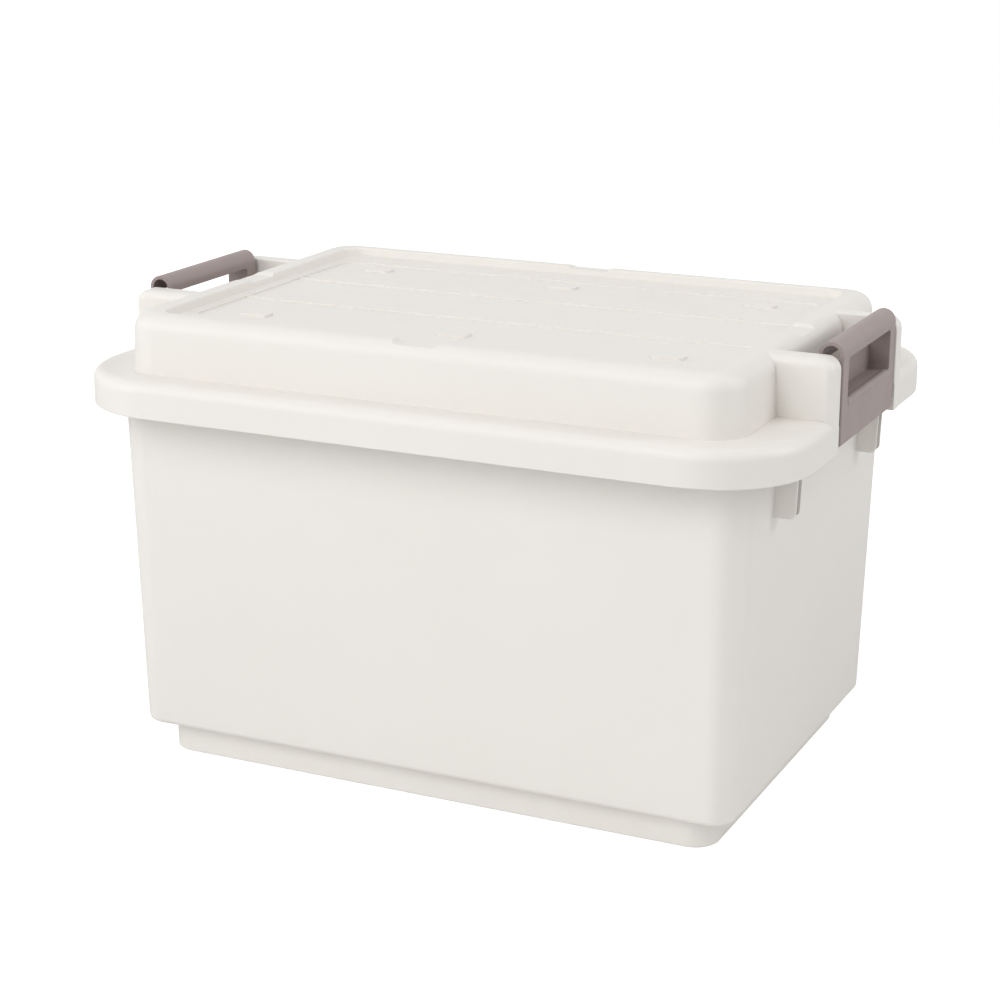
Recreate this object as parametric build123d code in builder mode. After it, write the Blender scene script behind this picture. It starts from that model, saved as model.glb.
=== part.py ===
from build123d import *
import math
import os

os.makedirs("parts", exist_ok=True)

# Storage bin: a drafted tub, a domed stacking lid and a swinging latch handle at each end.
# Millimetres. X runs along the length, Y along the width, Z up. The origin is the middle of
# the underside, and the front is at -Y. Each piece is one moulding.

# Tub, sizes over the walls at the rim
tub_length = 496.7
tub_width = 333.8
tub_corner = 24.0
rim_height = 299.9
tub_draft = 1.65
tub_wall = 2.6
floor_thickness = 3.0
tub_bottom_round = 5.0
plinth_height = 23.2
plinth_inset_x = 16.5
plinth_inset_y = 11.0
plinth_corner = 20.0
plinth_round = 1.5

# Outward rim lip of the tub, shortened between the lid's ears
lip_reach = 17.0
lip_drop = 9.0
lip_slot_reach = 7.7
lip_slot_margin = 6.0

# Double gussets under the rim at both ends
gusset_gap = 4.3
gusset_width = 12.0
gusset_web = 2.2
gusset_drop = 63.9
gusset_reach = 15.5
gusset_taper = 2.2
gusset_round = 4.0

# Lid, whose skirt stands out round the tub
skirt_overhang_x = 31.65
skirt_overhang_y = 27.7
skirt_corner = 72.5
skirt_drop = 26.7
skirt_round = 8.0
skirt_edge_round = 1.0
lid_wall = 2.8
seat_gap = 0.3

# Dome of the lid, set in from the skirt
dome_margin_x = 39.5
dome_margin_y = 26.6
dome_corner = 28.0
dome_height = 43.5
dome_draft = 3.0
dome_round = 12.0

# Stacking recess in the top of the dome
border_margin_x = 23.5
border_margin_y = 19.0
border_corner = 14.0
border_depth = 6.5
border_draft = 8.0
border_edge_round = 1.5
field_margin_x = 11.0
field_margin_y = 29.0
field_corner = 10.0
field_depth = 1.3
ridge_offset = 41.0
ridge_width = 3.0
pad_length = 24.0
pad_width = 12.0
pad_height = 2.0
pad_corner = 3.0
pad_inset = 52.0
notch_width = 31.0
notch_depth = 2.5

# Ears of the lid on either side of each handle
ear_width = 17.4
ear_drop = 0.5
ear_round_top = 10.0
ear_round_side = 6.0
ear_slot_round = 1.2

# Catch along the lid's edge, from ear to ear
catch_height = 4.0
catch_setback = 22.0

# Latch handle: grip tube, finger window, plate and hinge
handle_width = 127.4
handle_side_gap = 4.9
grip_radius = 9.0
grip_wall = 2.6
grip_rise = 7.6
handle_setback = 0.2
plate_thickness = 3.0
handle_wall = 2.5
plate_drop = 22.0
plate_side_round = 1.5
window_width = 102.0
window_rise = 8.0
window_corner = 3.0
lintel_height = 3.6
sill_roll_radius = 3.2
sill_roll_out = 1.0
back_wall_rise = 26.0
hook_width = 70.0
hook_height = 4.0
hook_gap = 0.8
hook_rise = 0.5
stiffener_spacing = 26.0
stiffener_thickness = 2.0
stiffener_count = 3

# Hinge of the handle on the tub
hinge_radius = 5.5
hinge_setback = 0.5
pin_radius = 2.5
pin_clearance = 0.1
lug_width = 10.0
knuckle_length = 22.7
lug_side_gap = 0.5
lug_clearance = 0.5
lug_throat = 4.4
lug_drop = 43.9
pin_overrun = 1.0

# Sizes, heights and lines that the pieces share
lid_length = tub_length + 2 * skirt_overhang_x
lid_width = tub_width + 2 * skirt_overhang_y
dome_length = lid_length - 2 * dome_margin_x
dome_width = lid_width - 2 * dome_margin_y
border_length = dome_length - 2 * border_margin_x
border_width = dome_width - 2 * border_margin_y
pad_spacing_x = border_length / 2 - pad_inset
pad_spacing_y = border_width - 2 * pad_inset
flange_top = rim_height + seat_gap + lid_wall
flange_under = rim_height + seat_gap
skirt_bottom = flange_top - skirt_drop
crest = flange_top + dome_height
border_floor = crest - border_depth
field_floor = border_floor - field_depth
lid_end = lid_length / 2
slot_width = handle_width + 2 * handle_side_gap
ear_middle = (slot_width + ear_width) / 2
ear_top = crest - ear_drop
slot_edge = lid_end - catch_setback
handle_face = lid_end - handle_setback
handle_back = handle_face - 2 * grip_radius
grip_x = handle_face - grip_radius
grip_z = ear_top + grip_rise - grip_radius
plate_bottom = flange_top - plate_drop
window_sill = flange_top + window_rise
window_top = grip_z - lintel_height
back_wall_top = flange_top + back_wall_rise
hook_bottom = flange_top + hook_rise
plate_back = handle_face - plate_thickness
hinge_x = plate_back - hinge_radius
hinge_z = plate_bottom - hinge_setback
knuckle_end = handle_width / 2
knuckle_start = knuckle_end - knuckle_length
lug_middle = knuckle_start - lug_side_gap - lug_width / 2
tub_end = tub_length / 2
gusset_middle = slot_width / 2 + ear_width + gusset_gap + gusset_width / 2
gusset_bottom = rim_height - gusset_drop
lug_foot = rim_height - lug_drop


def draft_shift(height, angle):
    # Sideways move of a drafted wall over a height
    return height * math.tan(math.radians(angle))


def at_the_corners(block):
    # A block on the X axis, moved to the four ears and turned over so that each faces its slot
    front = block.moved(Location((0, -ear_middle, 0)))
    back = mirror(front, about=Plane.XZ, mode=Mode.PRIVATE)
    left = [mirror(piece, about=Plane.YZ, mode=Mode.PRIVATE) for piece in (front, back)]
    return [front, back] + left


# Tub
body_rise = rim_height - plinth_height
body_shift = draft_shift(body_rise, tub_draft)
body_length = tub_length - 2 * body_shift
body_width = tub_width - 2 * body_shift
body_corner = tub_corner - body_shift
plinth_length = body_length - 2 * plinth_inset_x
plinth_width = body_width - 2 * plinth_inset_y

with BuildPart() as tub:
    with BuildSketch(Plane.XY.offset(plinth_height)):
        RectangleRounded(body_length, body_width, body_corner)
    extrude(amount=body_rise, taper=-tub_draft)
    fillet(tub.faces().sort_by(Axis.Z)[0].edges(), tub_bottom_round)
    with BuildSketch():
        RectangleRounded(plinth_length, plinth_width, plinth_corner)
    extrude(amount=plinth_height)
    fillet(tub.faces().sort_by(Axis.Z)[0].edges(), plinth_round)

    # Lip turned out at the rim, with a drop edge, and set back between the ears
    with BuildSketch(Plane.XY.offset(rim_height - lip_drop)):
        RectangleRounded(tub_length + 2 * lip_reach, tub_width + 2 * lip_reach, tub_corner + lip_reach)
        with Locations((tub_end + lip_reach, 0), (-tub_end - lip_reach, 0)):
            Rectangle(
                2 * (lip_reach - lip_slot_reach), slot_width + 2 * lip_slot_margin, mode=Mode.SUBTRACT
            )
    extrude(amount=lip_drop)
    with BuildSketch(Plane.XY.offset(rim_height - lip_drop)):
        RectangleRounded(
            tub_length + 2 * (lip_reach - tub_wall),
            tub_width + 2 * (lip_reach - tub_wall),
            tub_corner + lip_reach - tub_wall,
        )
        with Locations((tub_end + lip_reach, 0), (-tub_end - lip_reach, 0)):
            Rectangle(
                2 * (lip_reach - lip_slot_reach + tub_wall),
                slot_width + 2 * (lip_slot_margin + tub_wall),
                mode=Mode.SUBTRACT,
            )
        RectangleRounded(tub_length, tub_width, tub_corner, mode=Mode.SUBTRACT)
    extrude(amount=lip_drop - tub_wall, mode=Mode.SUBTRACT)

    # Double gussets that carry the lip down to the end walls
    with BuildPart(mode=Mode.PRIVATE) as gusset:
        with BuildSketch(Plane.XZ.offset(gusset_width / 2)):
            with BuildLine():
                Polyline(
                    (tub_end - body_shift / 2, rim_height - tub_wall),
                    (tub_end + gusset_reach, rim_height - tub_wall),
                    (tub_end + gusset_reach - gusset_taper, gusset_bottom),
                    (tub_end - body_shift / 2, gusset_bottom),
                    close=True,
                )
            make_face()
        extrude(amount=-gusset_width)
        fillet(
            gusset.edges().filter_by(Axis.Y).group_by(Axis.Z)[0].sort_by(Axis.X)[-1], gusset_round
        )
        with BuildSketch(Plane.YZ.offset(tub_end + gusset_reach + 1)):
            with Locations((0, gusset_bottom + gusset_web + rim_height)):
                Rectangle(gusset_width - 2 * gusset_web, 2 * rim_height)
        extrude(amount=-gusset_reach - 1, mode=Mode.SUBTRACT)
    for side in (gusset_middle, -gusset_middle):
        for turn in (0, 180):
            add(gusset.part.moved(Location((0, 0, 0), (0, 0, turn)) * Location((0, side, 0))))

    # Hinge lugs that stand out from the end walls between the ears
    with BuildPart(mode=Mode.PRIVATE) as lug:
        with BuildSketch(Plane.XZ.offset(lug_width / 2)):
            with BuildLine():
                Polyline(
                    (tub_end - body_shift / 2, lug_foot),
                    (tub_end - body_shift / 2, rim_height - tub_wall),
                    (tub_end + lip_slot_reach - tub_wall, rim_height - tub_wall),
                    (hinge_x, hinge_z + hinge_radius - lug_clearance),
                    (hinge_x, hinge_z - hinge_radius + lug_clearance),
                    (tub_end + lip_slot_reach + 2 * tub_wall, hinge_z - hinge_radius + lug_clearance),
                    close=True,
                )
            make_face()
            with Locations((hinge_x, hinge_z)):
                Circle(hinge_radius - lug_clearance)
                Circle(pin_radius + pin_clearance, mode=Mode.SUBTRACT)
        extrude(amount=-lug_width)
        # Snap throat, narrower than the pin, that lets the pin in from above
        with BuildSketch(Plane.XZ.offset(lug_width)):
            with Locations(Location((hinge_x, hinge_z), 45)):
                with Locations((hinge_radius / 2, 0)):
                    Rectangle(hinge_radius, lug_throat)
        extrude(amount=-2 * lug_width, mode=Mode.SUBTRACT)
    for side in (lug_middle, -lug_middle):
        for turn in (0, 180):
            add(lug.part.moved(Location((0, 0, 0), (0, 0, turn)) * Location((0, side, 0))))

    # Cavity: the plinth well and the drafted body above it
    with BuildSketch(Plane.XY.offset(floor_thickness)):
        RectangleRounded(
            plinth_length - 2 * tub_wall, plinth_width - 2 * tub_wall, plinth_corner - tub_wall
        )
    extrude(amount=plinth_height, mode=Mode.SUBTRACT)
    with BuildPart(mode=Mode.PRIVATE) as cavity:
        with BuildSketch(Plane.XY.offset(plinth_height + floor_thickness)):
            RectangleRounded(
                body_length - 2 * tub_wall, body_width - 2 * tub_wall, body_corner - tub_wall
            )
        extrude(amount=body_rise - floor_thickness, taper=-tub_draft)
        fillet(cavity.faces().sort_by(Axis.Z)[0].edges(), tub_bottom_round - tub_wall)
    add(cavity.part, mode=Mode.SUBTRACT)

# Lid
# Ear and the well inside it, for the right-hand end with the handle slot at its +Y side
with BuildPart() as ear:
    with BuildSketch(Plane.XY.offset(skirt_bottom)):
        with Locations(((dome_length / 2 - dome_round + lid_end) / 2, 0)):
            Rectangle(lid_end - dome_length / 2 + dome_round, ear_width)
    extrude(amount=ear_top - skirt_bottom)
    outer_top = ear.edges().filter_by(Axis.Y).group_by(Axis.Z)[-1].sort_by(Axis.X)[-1]
    fillet(outer_top, ear_round_top)
    outer_face = ear.faces().filter_by(Axis.X).sort_by(Axis.X)[-1]
    fillet(outer_face.edges().filter_by(Axis.Z).sort_by(Axis.Y)[0], ear_round_side)
    outer_face = ear.faces().filter_by(Axis.X).sort_by(Axis.X)[-1]
    fillet(outer_face.edges().filter_by(Axis.Z).sort_by(Axis.Y)[-1], ear_slot_round)

with BuildPart() as ear_well:
    with BuildSketch(Plane.XY.offset(skirt_bottom)):
        with Locations(((dome_length / 2 + lid_end) / 2 - lid_wall, 0)):
            Rectangle(lid_end - dome_length / 2, ear_width - 2 * lid_wall)
    extrude(amount=ear_top - lid_wall - skirt_bottom)
    outer_top = ear_well.edges().filter_by(Axis.Y).group_by(Axis.Z)[-1].sort_by(Axis.X)[-1]
    fillet(outer_top, ear_round_top - lid_wall)
    outer_face = ear_well.faces().filter_by(Axis.X).sort_by(Axis.X)[-1]
    fillet(outer_face.edges().filter_by(Axis.Z).sort_by(Axis.Y)[0], ear_round_side - lid_wall)

with BuildPart() as dome_core:
    # Inside of the dome: the dome's own shape, one wall smaller, round the stacking recess
    with BuildSketch(Plane.XY.offset(flange_under)):
        RectangleRounded(
            dome_length - 2 * lid_wall, dome_width - 2 * lid_wall, dome_corner - lid_wall
        )
    extrude(amount=dome_height, taper=dome_draft)
    fillet(dome_core.faces().sort_by(Axis.Z)[-1].edges(), dome_round - lid_wall)
    with BuildSketch(Plane.XY.offset(field_floor - lid_wall)):
        RectangleRounded(
            border_length + 2 * lid_wall, border_width + 2 * lid_wall, border_corner + lid_wall
        )
    extrude(amount=dome_height, mode=Mode.SUBTRACT)

with BuildPart() as lid:
    with BuildSketch(Plane.XY.offset(skirt_bottom)):
        RectangleRounded(lid_length, lid_width, skirt_corner)
    extrude(amount=skirt_drop)
    fillet(lid.faces().sort_by(Axis.Z)[-1].edges(), skirt_round)
    fillet(lid.faces().sort_by(Axis.Z)[0].edges(), skirt_edge_round)
    with BuildSketch(Plane.XY.offset(flange_top)):
        RectangleRounded(dome_length, dome_width, dome_corner)
    extrude(amount=dome_height, taper=dome_draft)
    fillet(lid.faces().sort_by(Axis.Z)[-1].edges(), dome_round)
    for piece in at_the_corners(ear.part):
        add(piece)

    # Underside of the flange and skirt, then the dome and the ears
    with BuildSketch(Plane.XY.offset(skirt_bottom)):
        RectangleRounded(lid_length - 2 * lid_wall, lid_width - 2 * lid_wall, skirt_corner - lid_wall)
    extrude(amount=flange_under - skirt_bottom, mode=Mode.SUBTRACT)
    add(dome_core.part, mode=Mode.SUBTRACT)
    for piece in at_the_corners(ear_well.part):
        add(piece, mode=Mode.SUBTRACT)

    # Stacking recess with its lower field, ridges and locating pads
    with BuildSketch(Plane.XY.offset(border_floor)):
        RectangleRounded(
            border_length - 2 * draft_shift(border_depth, border_draft),
            border_width - 2 * draft_shift(border_depth, border_draft),
            border_corner,
        )
    extrude(amount=2 * border_depth, taper=-border_draft, mode=Mode.SUBTRACT)
    crest_ring = lid.faces().filter_by(Axis.Z).sort_by(Axis.Z)[-1]
    fillet(crest_ring.inner_wires()[0].edges(), border_edge_round)
    with BuildSketch(Plane.XY.offset(field_floor)):
        RectangleRounded(
            border_length - 2 * field_margin_x, border_width - 2 * field_margin_y, field_corner
        )
    extrude(amount=border_depth, mode=Mode.SUBTRACT)
    with BuildSketch(Plane.XY.offset(field_floor)):
        with GridLocations(0, 2 * ridge_offset, 1, 2):
            Rectangle(border_length - 2 * field_margin_x, ridge_width)
    extrude(amount=field_depth)
    with BuildSketch(Plane.XY.offset(field_floor)):
        with GridLocations(pad_spacing_x, pad_spacing_y, 3, 2):
            RectangleRounded(pad_length, pad_width, pad_corner)
    extrude(amount=pad_height)

    # Shallow notches at the middle of each side of the border
    for notch_plane, run in ((Plane.XZ, dome_width), (Plane.YZ, dome_length)):
        with BuildSketch(notch_plane.offset(-run / 2)):
            with BuildLine():
                Polyline(
                    (-notch_width / 2, crest - notch_depth),
                    (notch_width / 2, crest - notch_depth),
                    (notch_width / 2 + 2 * notch_depth, crest + notch_depth / 2),
                    (-notch_width / 2 - 2 * notch_depth, crest + notch_depth / 2),
                    close=True,
                )
            make_face()
        extrude(amount=run, mode=Mode.SUBTRACT)

    # Handle slots between the ears, closed at the sides, with a catch along the edge
    with BuildSketch(Plane.XY.offset(skirt_bottom)):
        with Locations((slot_edge + catch_setback, 0), (-slot_edge - catch_setback, 0)):
            Rectangle(2 * catch_setback, slot_width)
    extrude(amount=crest - skirt_bottom, mode=Mode.SUBTRACT)
    with BuildSketch(Plane.XY.offset(skirt_bottom)):
        cheek = lid_end - ear_slot_round - slot_edge
        cheek_y = (slot_width + lid_wall) / 2
        with Locations(
            *[
                (side * (slot_edge + cheek / 2), end * cheek_y)
                for side in (-1, 1)
                for end in (-1, 1)
            ]
        ):
            Rectangle(cheek, lid_wall)
    extrude(amount=skirt_drop)
    with BuildSketch(Plane.XY.offset(flange_under)):
        with Locations((slot_edge - lid_wall / 2, 0), (-slot_edge + lid_wall / 2, 0)):
            Rectangle(lid_wall, slot_width)
    extrude(amount=lid_wall + catch_height)

# Latch handle, built at the right-hand end
with BuildPart() as latch_handle:
    # Hollow box behind the plate
    box_height = grip_z - plate_bottom
    with BuildSketch(Plane.XY.offset(plate_bottom)):
        with Locations(((handle_face + handle_back) / 2, 0)):
            Rectangle(handle_face - handle_back, handle_width)
    extrude(amount=box_height)
    plate_face = latch_handle.faces().filter_by(Axis.X).sort_by(Axis.X)[-1]
    fillet(plate_face.edges().filter_by(Axis.Z), plate_side_round)
    pocket_depth = plate_back - handle_back - handle_wall
    with BuildSketch(Plane.XY.offset(plate_bottom)):
        with Locations((plate_back - pocket_depth / 2, 0)):
            Rectangle(pocket_depth, handle_width - 2 * handle_wall)
    extrude(amount=box_height, mode=Mode.SUBTRACT)

    # Walls of the finger window's tunnel
    with BuildSketch(Plane.YZ.offset(handle_back)):
        with Locations((0, (window_sill - handle_wall + grip_z) / 2)):
            Rectangle(window_width + 2 * handle_wall, grip_z - window_sill + handle_wall)
    extrude(amount=handle_face - handle_back)

    # Below the floor the back wall ends in a hook, and the plate is open behind
    with BuildSketch(Plane.XY.offset(plate_bottom)):
        with Locations((handle_back + (plate_back - handle_back) / 4, 0)):
            Rectangle((plate_back - handle_back) / 2, handle_width)
    extrude(amount=hook_bottom - plate_bottom, mode=Mode.SUBTRACT)
    hook_tip = slot_edge + hook_gap
    with BuildSketch(Plane.XY.offset(hook_bottom)):
        with Locations(((hook_tip + handle_back) / 2, 0)):
            Rectangle(handle_back - hook_tip, hook_width)
    extrude(amount=hook_height)
    with BuildSketch(Plane.XY.offset(hinge_z + hinge_radius)):
        with Locations((plate_back - hinge_radius / 2, 0)):
            with GridLocations(0, stiffener_spacing, 1, stiffener_count):
                Rectangle(hinge_radius, stiffener_thickness)
    extrude(amount=window_sill - handle_wall - hinge_z - hinge_radius)

    # Grip tube with open ends
    with BuildSketch(Plane.XZ.offset(handle_width / 2)):
        with Locations((grip_x, grip_z)):
            Circle(grip_radius)
    extrude(amount=-handle_width)
    with BuildSketch(Plane.XZ.offset(handle_width / 2)):
        with Locations((grip_x, grip_z)):
            Circle(grip_radius - grip_wall)
    extrude(amount=-handle_width, mode=Mode.SUBTRACT)

    # Finger window, up into the tube so that the grip is open below, and over a low back wall
    with BuildSketch(Plane.YZ.offset(handle_back + handle_wall)):
        with Locations((0, (window_sill + window_top) / 2)):
            RectangleRounded(window_width, window_top - window_sill, window_corner)
    extrude(amount=2 * grip_radius, mode=Mode.SUBTRACT)
    with BuildSketch(Plane.YZ.offset(handle_back - 1)):
        with Locations((0, (back_wall_top + window_top) / 2)):
            RectangleRounded(window_width, window_top - back_wall_top, window_corner)
    extrude(amount=2 * handle_wall, mode=Mode.SUBTRACT)

    # Roll along the window's sill: it stands proud of the plate and covers the floor's edge
    roll_x = handle_face + sill_roll_out - sill_roll_radius
    roll_z = window_sill - math.sqrt(sill_roll_out * (2 * sill_roll_radius - sill_roll_out))
    roll_half = window_width / 2 - window_corner
    with BuildSketch(Plane.XZ.offset(roll_half)):
        with Locations((roll_x, roll_z)):
            Circle(sill_roll_radius)
    extrude(amount=-2 * roll_half)
    with Locations((roll_x, roll_half, roll_z), (roll_x, -roll_half, roll_z)):
        Sphere(sill_roll_radius)

    # Hinge knuckles at both ends of the plate, with pins that reach in to the lugs
    for side in (-1, 1):
        with BuildSketch(Plane.XZ.offset(-side * knuckle_start)):
            with Locations((hinge_x, hinge_z)):
                Circle(hinge_radius)
            with Locations(((hinge_x + plate_back) / 2, hinge_z + hinge_radius)):
                Rectangle(plate_back - hinge_x, 2 * hinge_radius)
        extrude(amount=-side * (knuckle_end - knuckle_start))
        with BuildSketch(Plane.XZ.offset(-side * (lug_middle - lug_width / 2 - pin_overrun))):
            with Locations((hinge_x, hinge_z)):
                Circle(pin_radius)
        extrude(amount=-side * (lug_width + lug_side_gap + pin_overrun + 1))

tub.part.label = "tub"
lid.part.label = "lid"
latch_handle_right = latch_handle.part
latch_handle_left = latch_handle.part.moved(Location((0, 0, 0), (0, 0, 180)))
latch_handle_right.label = "latch_handle_right"
latch_handle_left.label = "latch_handle_left"

export_step(tub.part, "parts/tub.step")
export_step(lid.part, "parts/lid.step")
export_step(latch_handle_right, "parts/latch_handle_right.step")
export_step(latch_handle_left, "parts/latch_handle_left.step")
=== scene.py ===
import math

import bpy
from mathutils import Matrix, Vector

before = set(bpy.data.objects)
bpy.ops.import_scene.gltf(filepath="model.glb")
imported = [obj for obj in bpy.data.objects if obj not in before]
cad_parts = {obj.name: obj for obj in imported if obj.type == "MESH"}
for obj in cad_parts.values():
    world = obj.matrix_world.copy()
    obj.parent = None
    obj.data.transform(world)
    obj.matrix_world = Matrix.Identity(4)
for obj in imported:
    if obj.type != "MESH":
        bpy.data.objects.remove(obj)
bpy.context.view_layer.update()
bpy.ops.object.select_all(action="DESELECT")
print("frame loaded:", sorted(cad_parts))


def addNode(tree, kind, inputs=None, links=None, **settings):
    # One node with its settings, its plain input values and its incoming links
    node = tree.nodes.new(kind)
    for name, value in settings.items():
        setattr(node, name, value)
    for name, value in (inputs or {}).items():
        node.inputs[name].default_value = value
    for name, socket in (links or {}).items():
        tree.links.new(socket, node.inputs[name])
    return node


def linearColour(hexCode):
    # sRGB hex to the linear RGBA that Blender's sockets hold
    channels = [int(hexCode[i : i + 2], 16) / 255 for i in (1, 3, 5)]
    return [c / 12.92 if c <= 0.04045 else ((c + 0.055) / 1.055) ** 2.4 for c in channels] + [1.0]


def newMaterial(name):
    material = bpy.data.materials.new(name)
    material.use_nodes = True
    material.node_tree.nodes.clear()
    return material, material.node_tree


# Moulded polypropylene, natural cream: injection moulded against a lightly spark-eroded steel
# tool. To the eye: a soft satin, faintly waxy, with a broad pale highlight on every round.
creamPlastic = {
    "name": "creamMouldedPolypropylene",
    "colour": "#eeebe6",
    "flowColour": "#ebe7e1",
    "roughness": (0.36, 0.46),
    "ior": 1.49,
    "wax": 0.06,
    "waxDepth": 0.0018,
    "grain": 0.0011,
    "grainDepth": 0.000035,
}

# Moulded polypropylene, taupe: the same resin with a grey-brown pigment that hides the wax, in
# a finer-grained tool. To the eye: an even, slightly duller satin.
taupePlastic = {
    "name": "taupeMouldedPolypropylene",
    "colour": "#a0928f",
    "flowColour": "#9a8c89",
    "roughness": (0.42, 0.52),
    "ior": 1.46,
    "wax": 0.0,
    "waxDepth": 0.0010,
    "grain": 0.0010,
    "grainDepth": 0.000025,
}

# What both plastics share: resin flow in drifts 111 mm long, and a tool finish in drifts of 26 mm
moulding = {
    "flowDrift": 0.1111,
    "flowDetail": 3.0,
    "flowSoftness": 0.45,
    "finishDrift": 0.0263,
    "finishDetail": 4.0,
    "finishSoftness": 0.6,
    "finishSpan": (0.3, 0.7),
    "grainDetail": 2.0,
    "grainSoftness": 0.5,
    "grainStrength": 0.5,
    "edgeRound": 0.0004,
    "edgeSamples": 8,
    "waxSpread": (1.0, 0.9, 0.75),
}


def mouldedPlastic(look):
    material, tree = newMaterial(look["name"])
    place = addNode(tree, "ShaderNodeTexCoord").outputs["Object"]
    # Resin flow: pale drifts, only just darker than the rest
    flow = addNode(
        tree,
        "ShaderNodeTexNoise",
        {
            "Scale": 1 / moulding["flowDrift"],
            "Detail": moulding["flowDetail"],
            "Roughness": moulding["flowSoftness"],
        },
        {"Vector": place},
    )
    colour = addNode(
        tree,
        "ShaderNodeMix",
        {6: linearColour(look["colour"]), 7: linearColour(look["flowColour"])},
        {0: flow.outputs["Fac"]},
        data_type="RGBA",
    )
    # Tool finish: the gloss drifts over a few centimetres
    finish = addNode(
        tree,
        "ShaderNodeTexNoise",
        {
            "Scale": 1 / moulding["finishDrift"],
            "Detail": moulding["finishDetail"],
            "Roughness": moulding["finishSoftness"],
        },
        {"Vector": place},
    )
    finishLow, finishHigh = moulding["finishSpan"]
    glossy, dull = look["roughness"]
    roughness = addNode(
        tree,
        "ShaderNodeMapRange",
        {"From Min": finishLow, "From Max": finishHigh, "To Min": glossy, "To Max": dull},
        {"Value": finish.outputs["Fac"]},
    )
    # Spark-eroded grain is about 0.2 mm in the real tool, and is drawn coarser so that it shows
    grain = addNode(
        tree,
        "ShaderNodeTexNoise",
        {
            "Scale": 1 / look["grain"],
            "Detail": moulding["grainDetail"],
            "Roughness": moulding["grainSoftness"],
        },
        {"Vector": place},
    )
    # Arrises of a moulding are never sharp: the cutter leaves about 0.4 mm
    edge = addNode(
        tree, "ShaderNodeBevel", {"Radius": moulding["edgeRound"]}, samples=moulding["edgeSamples"]
    )
    bump = addNode(
        tree,
        "ShaderNodeBump",
        {"Strength": moulding["grainStrength"], "Distance": look["grainDepth"]},
        {"Height": grain.outputs["Fac"], "Normal": edge.outputs["Normal"]},
    )
    shader = addNode(
        tree,
        "ShaderNodeBsdfPrincipled",
        {
            "IOR": look["ior"],
            "Subsurface Weight": look["wax"],
            "Subsurface Radius": moulding["waxSpread"],
            "Subsurface Scale": look["waxDepth"],
        },
        {
            "Base Color": colour.outputs[2],
            "Roughness": roughness.outputs["Result"],
            "Normal": bump.outputs["Normal"],
        },
    )
    addNode(tree, "ShaderNodeOutputMaterial", links={"Surface": shader.outputs["BSDF"]})
    return material


cream = mouldedPlastic(creamPlastic)
taupe = mouldedPlastic(taupePlastic)
for nodeName, plastic in (
    ("tub", cream),
    ("lid", cream),
    ("latch_handle_left", taupe),
    ("latch_handle_right", taupe),
):
    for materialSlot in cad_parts[nodeName].material_slots:
        materialSlot.material = plastic
print("plastics on the mouldings")


# Studio: a white floor in an even white surround, with large soft lamps in front, at the left,
# at the right and above. Each lamp has its name, place, width in metres and watts.
studio = {
    "floorSize": 7.0,
    "floorWhite": 0.86,
    "floorLift": 0.66,
    "surround": 0.40,
    "white": (1.0, 1.0, 1.0, 1.0),
    "aim": (0.0, 0.0, 0.15),
    "lamps": (
        ("frontLight", (-0.3, -3.4, 1.6), 2.4, 20.0),
        ("frontHighLight", (-0.3, -2.7, 2.9), 1.8, 28.0),
        ("leftLight", (-2.6, -2.0, 1.6), 2.2, 30.0),
        ("rightLight", (3.1, 1.0, 1.5), 2.2, 21.0),
        ("rightHighLight", (2.5, 0.8, 2.8), 1.8, 17.0),
        ("topLight", (-0.3, 0.3, 3.2), 2.6, 9.0),
    ),
}

bpy.ops.mesh.primitive_plane_add(size=studio["floorSize"])
floor = bpy.context.object
floor.name = "studioFloor"
floorPaint, tree = newMaterial("studioFloorPaint")
rayKind = addNode(tree, "ShaderNodeLightPath")
lift = addNode(
    tree,
    "ShaderNodeMath",
    {1: studio["floorLift"]},
    {0: rayKind.outputs["Is Camera Ray"]},
    operation="MULTIPLY",
)
matt = addNode(tree, "ShaderNodeBsdfDiffuse", {"Color": [studio["floorWhite"]] * 3 + [1.0]})
glow = addNode(tree, "ShaderNodeEmission", links={"Strength": lift.outputs["Value"]})
both = addNode(
    tree, "ShaderNodeAddShader", links={0: matt.outputs["BSDF"], 1: glow.outputs["Emission"]}
)
addNode(tree, "ShaderNodeOutputMaterial", links={"Surface": both.outputs["Shader"]})
floor.data.materials.append(floorPaint)

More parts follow.
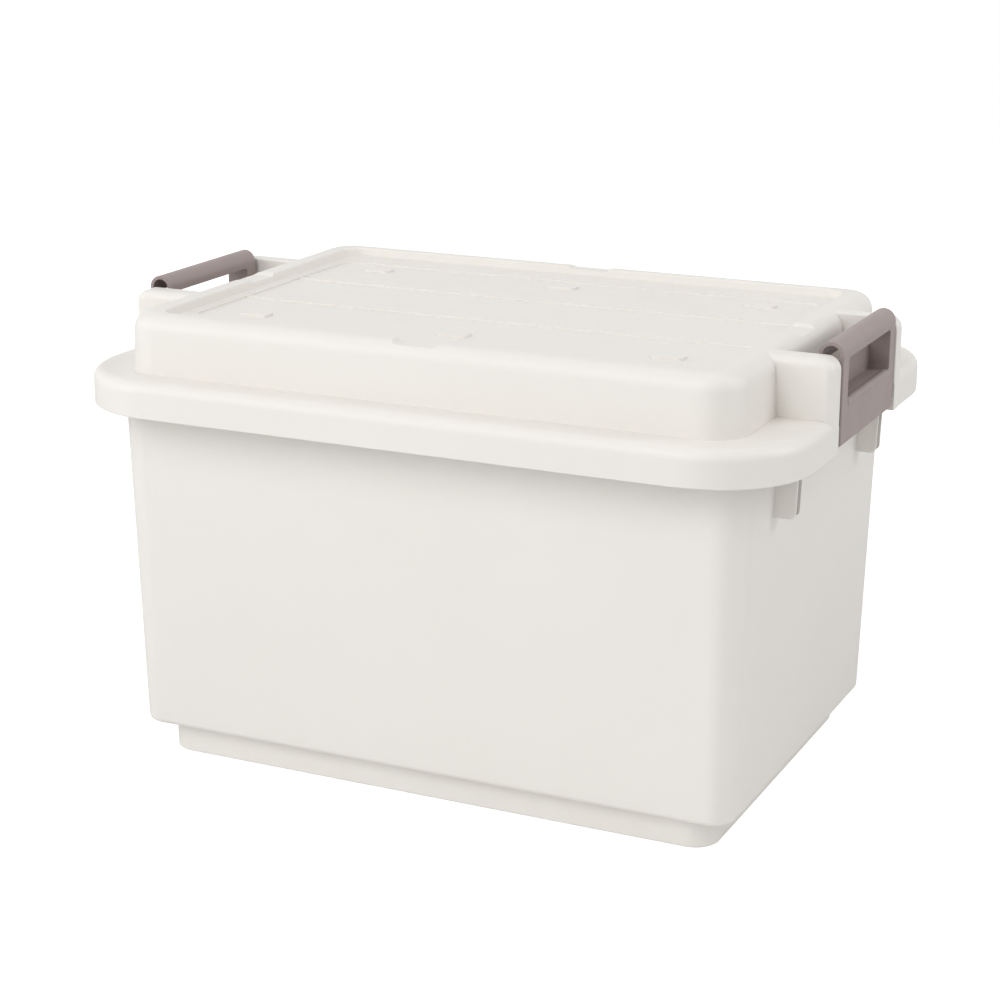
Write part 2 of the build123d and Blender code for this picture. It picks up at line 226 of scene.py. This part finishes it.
# The surround lights the bin as a grey, but is plain white wherever the camera sees it, also in
# a reflection or through something clear
world = bpy.data.worlds.new("studioSurround")
bpy.context.scene.world = world
world.use_nodes = True
tree = world.node_tree
tree.nodes.clear()
rayKind = addNode(tree, "ShaderNodeLightPath")
seen = addNode(
    tree,
    "ShaderNodeMath",
    links={0: rayKind.outputs["Is Camera Ray"], 1: rayKind.outputs["Is Glossy Ray"]},
    operation="MAXIMUM",
)
seenAtAll = addNode(
    tree,
    "ShaderNodeMath",
    links={0: seen.outputs["Value"], 1: rayKind.outputs["Is Transmission Ray"]},
    operation="MAXIMUM",
)
fill = addNode(
    tree, "ShaderNodeBackground", {"Color": studio["white"], "Strength": studio["surround"]}
)
white = addNode(tree, "ShaderNodeBackground", {"Color": studio["white"], "Strength": 1.0})
surround = addNode(
    tree,
    "ShaderNodeMixShader",
    links={
        0: seenAtAll.outputs["Value"],
        1: fill.outputs["Background"],
        2: white.outputs["Background"],
    },
)
addNode(tree, "ShaderNodeOutputWorld", links={"Surface": surround.outputs["Shader"]})

for lampName, place, size, power in studio["lamps"]:
    bpy.ops.object.light_add(type="AREA", location=place)
    lamp = bpy.context.object
    lamp.name = lampName
    lamp.data.shape = "DISK"
    lamp.data.size = size
    lamp.data.energy = power
    beam = Vector(studio["aim"]) - Vector(place)
    lamp.rotation_euler = beam.to_track_quat("-Z", "Y").to_euler()
print("studio built")


# Camera, fitted to the photo's perspective: place in metres, angles in degrees, lens in mm
viewpoint = {
    "place": (0.7237, -1.5652, 0.6985),
    "turn": 25.076,
    "tilt": 16.435,
    "roll": 0.153,
    "lens": 83.727,
    "sensor": 36.0,
}
bpy.ops.object.camera_add()
camera = bpy.context.object
camera.name = "photoCamera"
camera.data.lens = viewpoint["lens"]
camera.data.sensor_width = viewpoint["sensor"]
camera.matrix_world = (
    Matrix.Translation(viewpoint["place"])
    @ Matrix.Rotation(math.radians(viewpoint["turn"]), 4, "Z")
    @ Matrix.Rotation(math.radians(90 - viewpoint["tilt"]), 4, "X")
    @ Matrix.Rotation(math.radians(viewpoint["roll"]), 4, "Z")
)
bpy.context.scene.camera = camera
bpy.context.scene.view_settings.view_transform = "Standard"
print("camera set")
